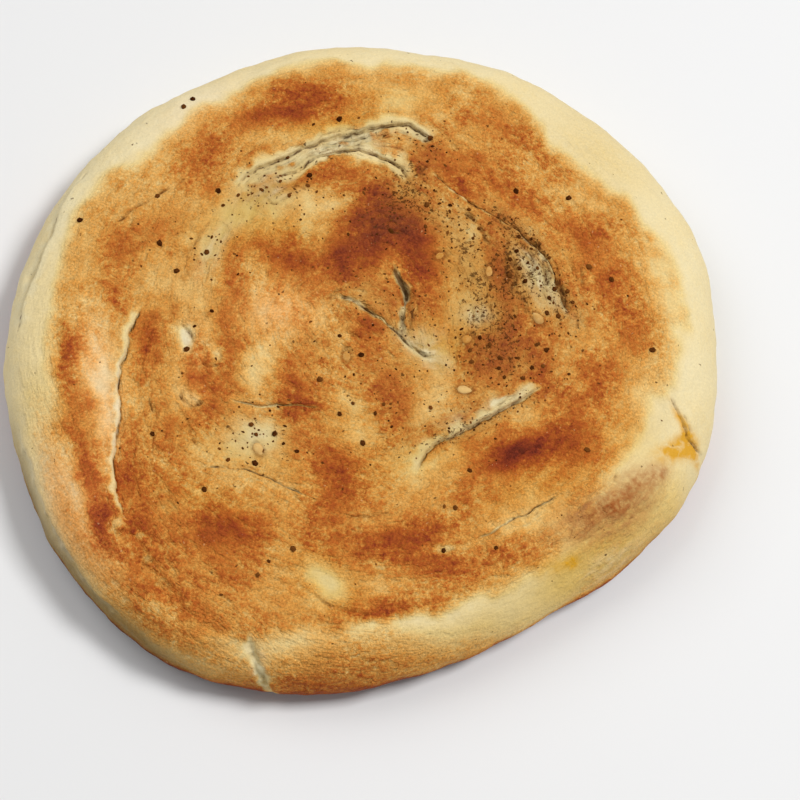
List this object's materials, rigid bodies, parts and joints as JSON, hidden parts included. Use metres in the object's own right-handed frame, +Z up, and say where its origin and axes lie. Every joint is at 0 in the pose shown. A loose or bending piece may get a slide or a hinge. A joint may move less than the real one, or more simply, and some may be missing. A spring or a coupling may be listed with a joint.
{
  "type": "filled flatbread",
  "caption": "Round pressed flatbread coiled from a roll of dough, with open folds in its browned top, a pale rounded rim and a flat underside to rest on.",
  "frame": {"origin": "middle of the bread's box, at the level of the flat underside that it rests on", "axes": "+Z up, out of the browned top; +X along the longer side of its outline; +Y towards the top of the picture"},
  "size_m": [0.1599, 0.1565, 0.0206],
  "materials": {
    "baked_crust": "matt baked wheat crust, golden to dark brown on top and cream at the rim, with a slight sheen of oil"
  },
  "bodies": {
    "root": {"shaobing": "baked_crust"}
  },
  "joints": []
}
